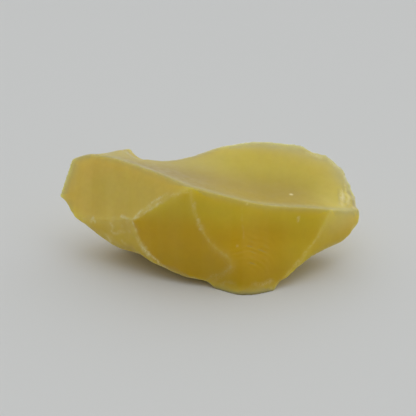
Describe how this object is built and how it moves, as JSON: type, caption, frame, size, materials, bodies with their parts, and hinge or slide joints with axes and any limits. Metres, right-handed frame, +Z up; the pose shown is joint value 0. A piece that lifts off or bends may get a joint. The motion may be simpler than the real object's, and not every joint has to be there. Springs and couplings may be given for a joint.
{
  "type": "raw opal specimen",
  "caption": "Raw yellow common opal: a waxy, elongated lump with a dished top, steep curved fracture faces at the front and a thin chipped rim.",
  "frame": {"origin": "middle of the footprint box, on the table that the stone stands on", "axes": "+X along the stone's length towards its thin overhanging end, +Y to the back, away from the two steep front faces, +Z up from the table"},
  "size_m": [0.0453, 0.0207, 0.0157],
  "materials": {
    "opal": "waxy yellow common opal, translucent only at thin edges"
  },
  "bodies": {
    "root": {"opal": "opal"}
  },
  "joints": []
}
